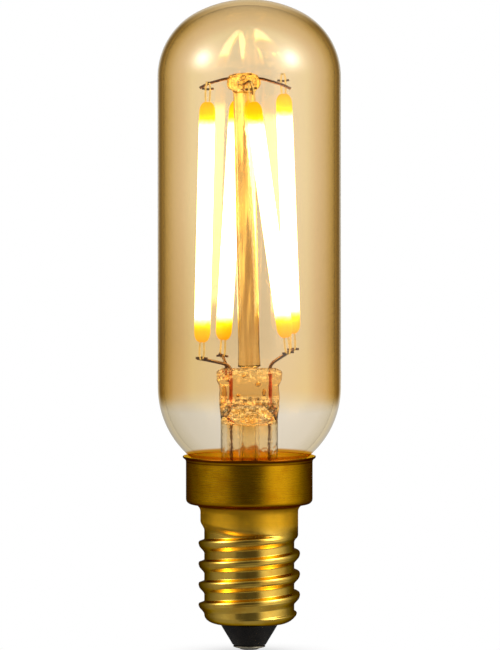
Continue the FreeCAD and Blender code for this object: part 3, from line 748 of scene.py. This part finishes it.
def ribbon(points, across, width, thickness):
    """Skin of a thin flat band along points, its width along one direction and its edges bevelled."""
    corners = ((-1, -0.5), (-0.8, -1), (0.8, -1), (1, -0.5), (1, 0.5), (0.8, 1), (-0.8, 1), (-1, 0.5))
    rings = []
    for at, point in enumerate(points):
        ahead, back = points[min(at + 1, len(points) - 1)], points[max(at - 1, 0)]
        normal = (ahead - back).cross(across).normalized()
        rings.append([tuple(point + across * a * width / 2 + normal * b * thickness / 2)
                      for a, b in corners])
    return skinned(rings)


def clip(number, end, plated, browned):
    """The clip on a bar's end: two plated prongs, with a curled wing and a tie browned by welding."""
    foot, top, along, broad, thin = bar_axes(number)
    start, out = (top, along) if end == "top" else (foot, -along)
    reach, wing_at = (2.8, 1.75) if end == "top" else (2.4, 2.1)

    def prong(side):
        points = []
        for part in parts(12):
            spread = 0.26 + 0.05 * math.sin(math.pi * part) - 0.12 * smooth((part - 0.75) / 0.25)
            lift = 0.04 * math.sin(TURN * part + side + number)
            points.append(start + out * (reach * part) + broad * side * spread + thin * lift)
        return ribbon(points, broad, 0.24, 0.16)

    wing = []
    for part in parts(16):
        side = 2 * part - 1
        curl = 0.16 * side * side - 0.1 * smooth((abs(side) - 0.8) / 0.2)
        lift = 0.02 + 0.1 * side * side
        wing.append(start + out * (wing_at + curl * 0.9) + broad * side * 0.8 + thin * lift)
    tie = [start + out * (reach - 0.1) + broad * (2 * part - 1) * 0.3 for part in parts(12)]

    prongs = [prong(-1), prong(1)]
    first_browned = sum(len(faces) for _, faces in prongs)
    vertices, faces = joined(prongs + [ribbon(wing, out, 0.3, 0.1), ribbon(tie, out, 0.16, 0.14)])
    piece = made(f"filament_{number}_{end}_clip", vertices, faces, plated, crease=40)
    piece.data.materials.append(browned)
    for polygon in piece.data.polygons:
        polygon.material_index = int(polygon.index >= first_browned)
    dressed(piece, f"filament_{number}_{end}_strip")


def bars():
    # The plating's glow is painted light from the bars
    plated = metal("clip_plating", (1.0, 0.80, 0.40), 0.22, metallic=0.45, lit=0.5)
    browned = metal("clip_wing_metal", (0.40, 0.22, 0.09), 0.3)
    for number in (1, 2, 3, 4):
        bar(number)
        clip(number, "top", plated, browned)
        clip(number, "foot", plated, browned)


# Wires


def rounded_route(points):
    """The route with each corner eased, as a wire bends."""
    radius, steps = 0.45, 5
    points = [Vector(p) for p in points]
    eased = [points[0]]
    for before, corner, after in zip(points, points[1:], points[2:]):
        back, ahead = before - corner, after - corner
        trim = min(radius, back.length * 0.45, ahead.length * 0.45)
        start, end = corner + back.normalized() * trim, corner + ahead.normalized() * trim
        for part in parts(steps):
            eased.append(start.lerp(corner, part).lerp(corner.lerp(end, part), part))
    return eased + [points[-1]]


def wire(name, node, radius, points, material):
    curve = bpy.data.curves.new(name, "CURVE")
    curve.dimensions = "3D"
    curve.bevel_depth = radius * MM
    curve.bevel_resolution = 4
    curve.use_fill_caps = True
    eased = rounded_route(points)
    spline = curve.splines.new("POLY")
    spline.points.add(len(eased) - 1)
    for place, point in zip(spline.points, eased):
        place.co = tuple(point * MM) + (1,)
    curve.materials.append(material)
    piece = bpy.data.objects.new(name, curve)
    bpy.context.collection.objects.link(piece)
    dressed(piece, node)


def wires():
    """Each wire from weld to weld; the leads end at the driver board, which stands a little forward."""
    support = metal("support_wire_metal", (0.30, 0.14, 0.06), 0.3)
    lead = lead_metal()
    tinned = metal("tinned_wire", (0.7, 0.66, 0.6), 0.3)
    board_y = -0.53
    wire("top_cross_wire", "left_right_wire", 0.19,
         [(-6.75, 0, 76.9), (-5.6, 0, 77.5), (-3.5, 0, 78.1), (-1.9, 0, 78.35), (0.4, 0, 78.3),
          (2.05, 0, 78.1), (4.65, -0.02, 77.3), (5.65, -0.02, 76.8)], support)
    wire("top_depth_wire", "front_back_wire", 0.19,
         [(0.55, -4.4, 76.2), (0.4, -4.55, 77.7), (0.0, -3.9, 78.0), (-0.7, -2.6, 77.45),
          (-0.75, 2.6, 77.4), (-0.5, 4.4, 77.5), (-1.95, 4.44, 77.5)], support)
    wire("left_lead", "left_lead_wire", 0.22,
         [(-7.17, 0, 40.0), (-6.2, 0, 39.85), (-3.6, 0, 39.3), (-2.75, 0, 38.95),
          (-2.45, 0, 38.2), (-2.45, 0, 20.1), (-2.45, board_y, 17.2), (-2.45, board_y, 14.6)], lead)
    wire("left_branch", "left_branch_wire", 0.2,
         [(-4.17, 1.36, 40.56), (-3.67, 1.36, 40.31), (-3.15, 0.55, 39.1), (-3.15, 0.55, 37.4)], lead)
    wire("right_lead", "right_lead_wire", 0.22,
         [(5.98, 0.745, 41.2), (5.29, -0.35, 40.8), (3.3, 0, 39.5), (2.85, 0, 38.9), (2.8, 0, 38.0),
          (2.8, 0, 20.1), (2.8, board_y, 17.2), (2.8, board_y, 14.6)], lead)
    wire("live_lead", "live_wire", 0.25,
         [(0, 0, 0.3), (0, 0, 5.83), (3.25, 0.17, 5.83), (3.25, 0.17, 7.13)], tinned)
    wire("neutral_lead", "neutral_wire", 0.25,
         [(-4.06, board_y, 14.6), (-4.06, board_y, 16.2), (-5.56, board_y, 18), (-5.56, board_y, 19)],
         tinned)


# Brass cap and its foot


def thread_radius(angle, height):
    """The rolled thread: a short steep flank above each crest, a slope below it and a straight root.

    It sets in above the shell's foot and runs out under the neck, whose foot is higher on the left.
    """
    crest_land, slope_end, shelf = 0.5, 1.65, PITCH - 0.36
    shoulder = 0.92
    drop = (RIGHT_CREST + PITCH * angle / TURN - height) % PITCH
    crest_height = height + drop
    if drop < crest_land:
        rise = 1.0 - (1.0 - shoulder) * (2 * drop / crest_land - 1) ** 2
    elif drop < slope_end:
        rise = shoulder * (1 - smooth((drop - crest_land) / (slope_end - crest_land)))
    elif drop < shelf:
        rise = 0.0
    else:
        rise = shoulder * smooth((drop - shelf) / (PITCH - shelf))
        crest_height -= PITCH
    neck_foot, neck_blend = 15.78 - 0.69 * math.cos(angle), 1.04 - 0.3 * math.cos(angle)
    in_neck = smooth((height - neck_foot) / neck_blend)
    run_in = smooth((height - SHELL_MOUTH) / 2.4)
    run_out = 1 - smooth((crest_height - 15.8) / 0.9)
    root = THREAD_ROOT + (CAP_NECK - THREAD_ROOT) * in_neck
    return root + (THREAD_CREST - THREAD_ROOT) * rise * run_in * (1 - in_neck) * run_out


def shell_ring(height, segments):
    """One ring of the screw shell, whose foot curls in under the thread."""
    curl_start = 4.9
    down = min(max((curl_start - height) / (curl_start - SHELL_FOOT), 0), 1)
    curl = math.sqrt(max(1 - down * down, 0))
    ring = []
    for side in range(segments):
        angle = TURN * side / segments
        r = SHELL_MOUTH + (thread_radius(angle, height) - SHELL_MOUTH) * curl
        ring.append((r * math.cos(angle), r * math.sin(angle), height))
    return ring


def cap():
    """Lip, collar, neck and screw shell in one skin, and the plain inside that closes it."""
    segments, rows, shell_top = 180, 300, 18.0
    corner, fillet = 0.7, 1.1
    lip, floor_z, wall = LIP_TOP, COLLAR_FLOOR, COLLAR_RADIUS
    curl = [(8.45, lip - 0.75), (8.62, lip - 0.42), (8.86, lip - 0.1), (8.98, lip - 0.01),
            (9.06, lip - 0.02), (9.1, lip - 0.1), (9.06, lip - 0.22), (8.92, lip - 0.34),
            (8.76, lip - 0.46), (8.68, lip - 0.62)]
    side = [(wall, lip - 0.85), (wall, lip - 0.95), (wall, floor_z + 0.85), (wall, floor_z + 0.75)]
    side += arc(wall - corner, floor_z + corner, corner, 0, -90, 10)
    side += arc(CAP_NECK + fillet, floor_z - fillet, fillet, 90, 180, 10)
    inside = [(SHELL_MOUTH, 3.9), (5.3, 4.3), (5.85, 5.0), (5.85, floor_z - 0.2), (6.0, floor_z + 0.3),
              (8.35, floor_z + 0.3), (8.35, lip - 0.9)]
    rings = [circle(r, z, segments) for r, z in curl + side]
    rings += [shell_ring(shell_top - (shell_top - SHELL_FOOT) * part, segments) for part in parts(rows)]
    rings += [circle(r, z, segments) for r, z in inside]
    vertices, faces = skinned(rings, looped=True)
    piece = made("screw_cap", vertices, [face[::-1] for face in faces], collar_brass(), crease=50)
    piece.data.materials.append(thread_brass())
    piece.data.materials.append(rim_brass())
    thread_index, rim_index = 1, 2
    curl_end, last_ring = 4 * segments, (len(rings) - 1) * segments
    for polygon in piece.data.polygons:
        middle = polygon.center / MM
        reach = middle.xy.length
        on_curl = min(polygon.vertices) < curl_end and reach < 8.93 and middle.z > lip - 0.8
        within = max(polygon.vertices) >= last_ring and reach < 8.7 and middle.z > floor_z + 0.4
        if middle.z < floor_z - 0.1:
            polygon.material_index = thread_index
        elif on_curl or within:
            polygon.material_index = rim_index
    dressed(piece, "cap_shell")


def cap_foot():
    """The black insulator, the contact plate under it and the drop of solder on that."""
    insulator = [(0.5, 0.8), (2.0, 0.76), (2.25, 0.82), (2.38, 1.0), (2.55, 1.3), (3.82, 3.4),
                 (3.88, 3.65), (3.88, 4.82), (5.8, 4.85), (5.83, 5.5), (0.5, 5.5)]
    piece = turned("black_insulator", insulator, black_glass(), 128)
    dressed(piece, "cap_insulator")
    plate = [(0.5, 0.75), (2.05, 0.75), (2.2, 0.66), (2.16, 0.52), (2.0, 0.46), (1.3, 0.27), (0.5, 0.25)]
    piece = turned("contact_plate", plate, metal("contact_metal", (0.66, 0.58, 0.42), 0.3), 96)
    dressed(piece, "centre_contact")
    drop = [(AXIS, 0.0), (0.35, 0.012), (0.75, 0.07), (1.05, 0.14), (1.26, 0.22), (1.3, 0.26), (AXIS, 0.28)]
    vertices, faces = skinned([[melted(p, 0.015, 1.3) for p in circle(r, z, 48)] for r, z in drop])
    vertices = [(x, y, max(z, 0.0)) for x, y, z in vertices]
    piece = made("solder_drop", vertices, faces, metal("tin_solder", (0.62, 0.62, 0.6), 0.25), crease=60)
    dressed(piece, "contact_solder")


def carried_nodes():
    """Finishes for the CAD pieces that are shown as they are."""
    looks = {
        "capping_cement": moulded("baked_cement", (0.72, 0.36, 0.08), 0.7),
        "driver_board": moulded("board_laminate", (0.05, 0.22, 0.09), 0.45),
        "bridge_rectifier": moulded("rectifier_epoxy", (0.03, 0.03, 0.032), 0.5),
        "driver_chip": moulded("chip_epoxy", (0.025, 0.025, 0.028), 0.45),
        "smoothing_capacitor": moulded("capacitor_sleeve", (0.04, 0.05, 0.09), 0.3),
        "fuse_resistor": moulded("resistor_lacquer", (0.38, 0.1, 0.04), 0.3),
    }
    for node, material in looks.items():
        slots = frame["nodes"][node].data.materials
        slots.clear()
        slots.append(material)


# Studio, where azimuth 0 is where the camera stands and 90 is to its right

# Levels of the grey room by azimuth
ROOM = [(-180, 0.10), (-150, 0.08), (-114, 0.16), (-88, 0.30), (-65, 0.42), (-45, 0.38), (-38, 0.30),
        (-33, 0.13), (-8, 0.07), (18, 0.09), (25, 0.2), (32, 0.6), (42, 0.95), (54, 1.0), (71, 0.86),
        (92, 0.52), (116, 0.15), (141, 0.10), (160, 0.08), (180, 0.10)]
# Azimuth and elevation of the soft lights that show on the crown
SPOTS = [(-68.4, 26.8), (60.8, 28.2)]


def toward(azimuth, elevation):
    """The direction of an azimuth and elevation in degrees."""
    a, e = math.radians(azimuth), math.radians(elevation)
    return Vector((math.sin(a) * math.cos(e), -math.cos(a) * math.cos(e), math.sin(e)))


def world():
    """White behind the lamp; metal and glass see a grey room with soft lights beside the camera."""
    studio = bpy.data.worlds.new("studio")
    bpy.context.scene.world = studio
    studio.use_nodes = True
    sky = Nodes(studio.node_tree)
    path = sky.node("ShaderNodeLightPath").outputs
    direction = sky.node("ShaderNodeTexCoord").outputs["Generated"]
    across, backward, upward = sky.split(direction)

    azimuth = sky.maths("ARCTAN2", across, sky.maths("MULTIPLY", backward, -1))
    light = sky.ramp(sky.maths("MULTIPLY_ADD", azimuth, 1 / TURN, 0.5),
                     [((angle + 180) / 360, grey(level)) for angle, level in ROOM])
    light = sky.maths("MAXIMUM", light, sky.span(upward, 0.35, 0.8, 0.0, 0.35, "SMOOTHSTEP"))
    below, below_level = sky.span(upward, -0.35, -0.8, kind="SMOOTHSTEP"), 0.28
    light = sky.maths("ADD", sky.maths("MULTIPLY", light, sky.maths("SUBTRACT", 1.0, below)),
                      sky.maths("MULTIPLY", below, below_level))

    # Each soft light is a small core in a wide glow, as powers and strengths
    core, glow = (60.0, 8.0), (12.0, 2.2)
    raised = sky.span(upward, 0.0, 0.3, kind="SMOOTHSTEP")
    for spot in SPOTS:
        aimed = sky.node("ShaderNodeVectorMath", operation="DOT_PRODUCT")
        sky.link(direction, aimed.inputs[0])
        aimed.inputs[1].default_value = toward(*spot)
        near = sky.maths("MAXIMUM", aimed.outputs["Value"], 0.0)
        for power, strength in (core, glow):
            shine = sky.maths("MULTIPLY", sky.maths("POWER", near, power), strength)
            light = sky.maths("MULTIPLY_ADD", shine, raised, light)

    behind = sky.span(backward, 0.1, 0.6)
    bent = sky.mix(behind, light, grey(1.0))
    colour = sky.mix(path["Is Glossy Ray"], grey(0.62), light)
    colour = sky.mix(path["Is Transmission Ray"], colour, bent)
    colour = sky.mix(path["Is Camera Ray"], colour, grey(1.0))
    sky.link(colour, sky.tree.nodes["Background"].inputs["Color"])


def soft_lamp(name, azimuth):
    """A panel that faces the lamp from one side of the camera."""
    elevation, distance, watts = 25, 0.6, 1.4
    panel = bpy.data.lights.new(name, "AREA")
    panel.shape = "RECTANGLE"
    panel.size, panel.size_y = 0.22, 0.4
    panel.energy = watts
    holder = bpy.data.objects.new(name, panel)
    holder.visible_glossy = False
    holder.visible_transmission = False
    bpy.context.collection.objects.link(holder)
    away = toward(azimuth, elevation)
    holder.location = Vector((0, 0, 0.05)) + away * distance
    holder.rotation_euler = away.to_track_quat("Z", "Y").to_euler()


def floor():
    """A pale disc that is as white as the backdrop, except for a painted shadow where the lamp shades it,
    made from ambient occlusion.
    """
    radii, height, segments = (420, 120, 40, 12, 3), -0.02, 96
    look = Look("pale_floor", Base_Color=grey(0.85), Roughness=0.8)
    shade = look.node("ShaderNodeAmbientOcclusion", samples=8)
    shade.inputs["Distance"].default_value = 0.012
    glow = look.node("ShaderNodeEmission")
    look.feed(glow.inputs["Color"], look.ramp(shade.outputs["AO"], [(0.0, grey(0.6)), (0.85, grey(1.0))]))
    path = look.node("ShaderNodeLightPath").outputs
    seen = look.maths("MAXIMUM", path["Is Camera Ray"], path["Is Transmission Ray"])
    look.surface(seen, look.shader.outputs[0], glow.outputs[0])
    vertices, faces = skinned([circle(r, height, segments) for r in radii], closed_start=False)
    piece = made("floor", vertices, faces, look.material)
    piece.visible_glossy = False


def camera():
    """At the photograph's distance and height, framed on its 500 by 650 picture."""
    picture_height, pixels_per_metre = 650, 7330
    middle, distance, height = 0.0001, 1.5, 0.14
    aim = Vector((middle, 0, 0.04455))
    place = Vector((middle, -distance, height))
    view = bpy.data.cameras.new("camera")
    view.sensor_fit = "VERTICAL"
    view.sensor_height = 36
    view.lens = pixels_per_metre * (aim - place).length / picture_height * view.sensor_height
    view.clip_start, view.clip_end = 0.05, 20
    holder = bpy.data.objects.new("camera", view)
    bpy.context.collection.objects.link(holder)
    holder.location = place
    holder.rotation_euler = (place - aim).to_track_quat("Z", "Y").to_euler()
    bpy.context.scene.camera = holder


camera()
world()
soft_lamp("panel_left", -66)
soft_lamp("panel_right", 66)
floor()
envelope()
stem()
exhaust()
rod()
bars()
wires()
cap()
cap_foot()
carried_nodes()
bpy.context.scene.view_settings.view_transform = "Standard"

bpy.context.view_layer.update()
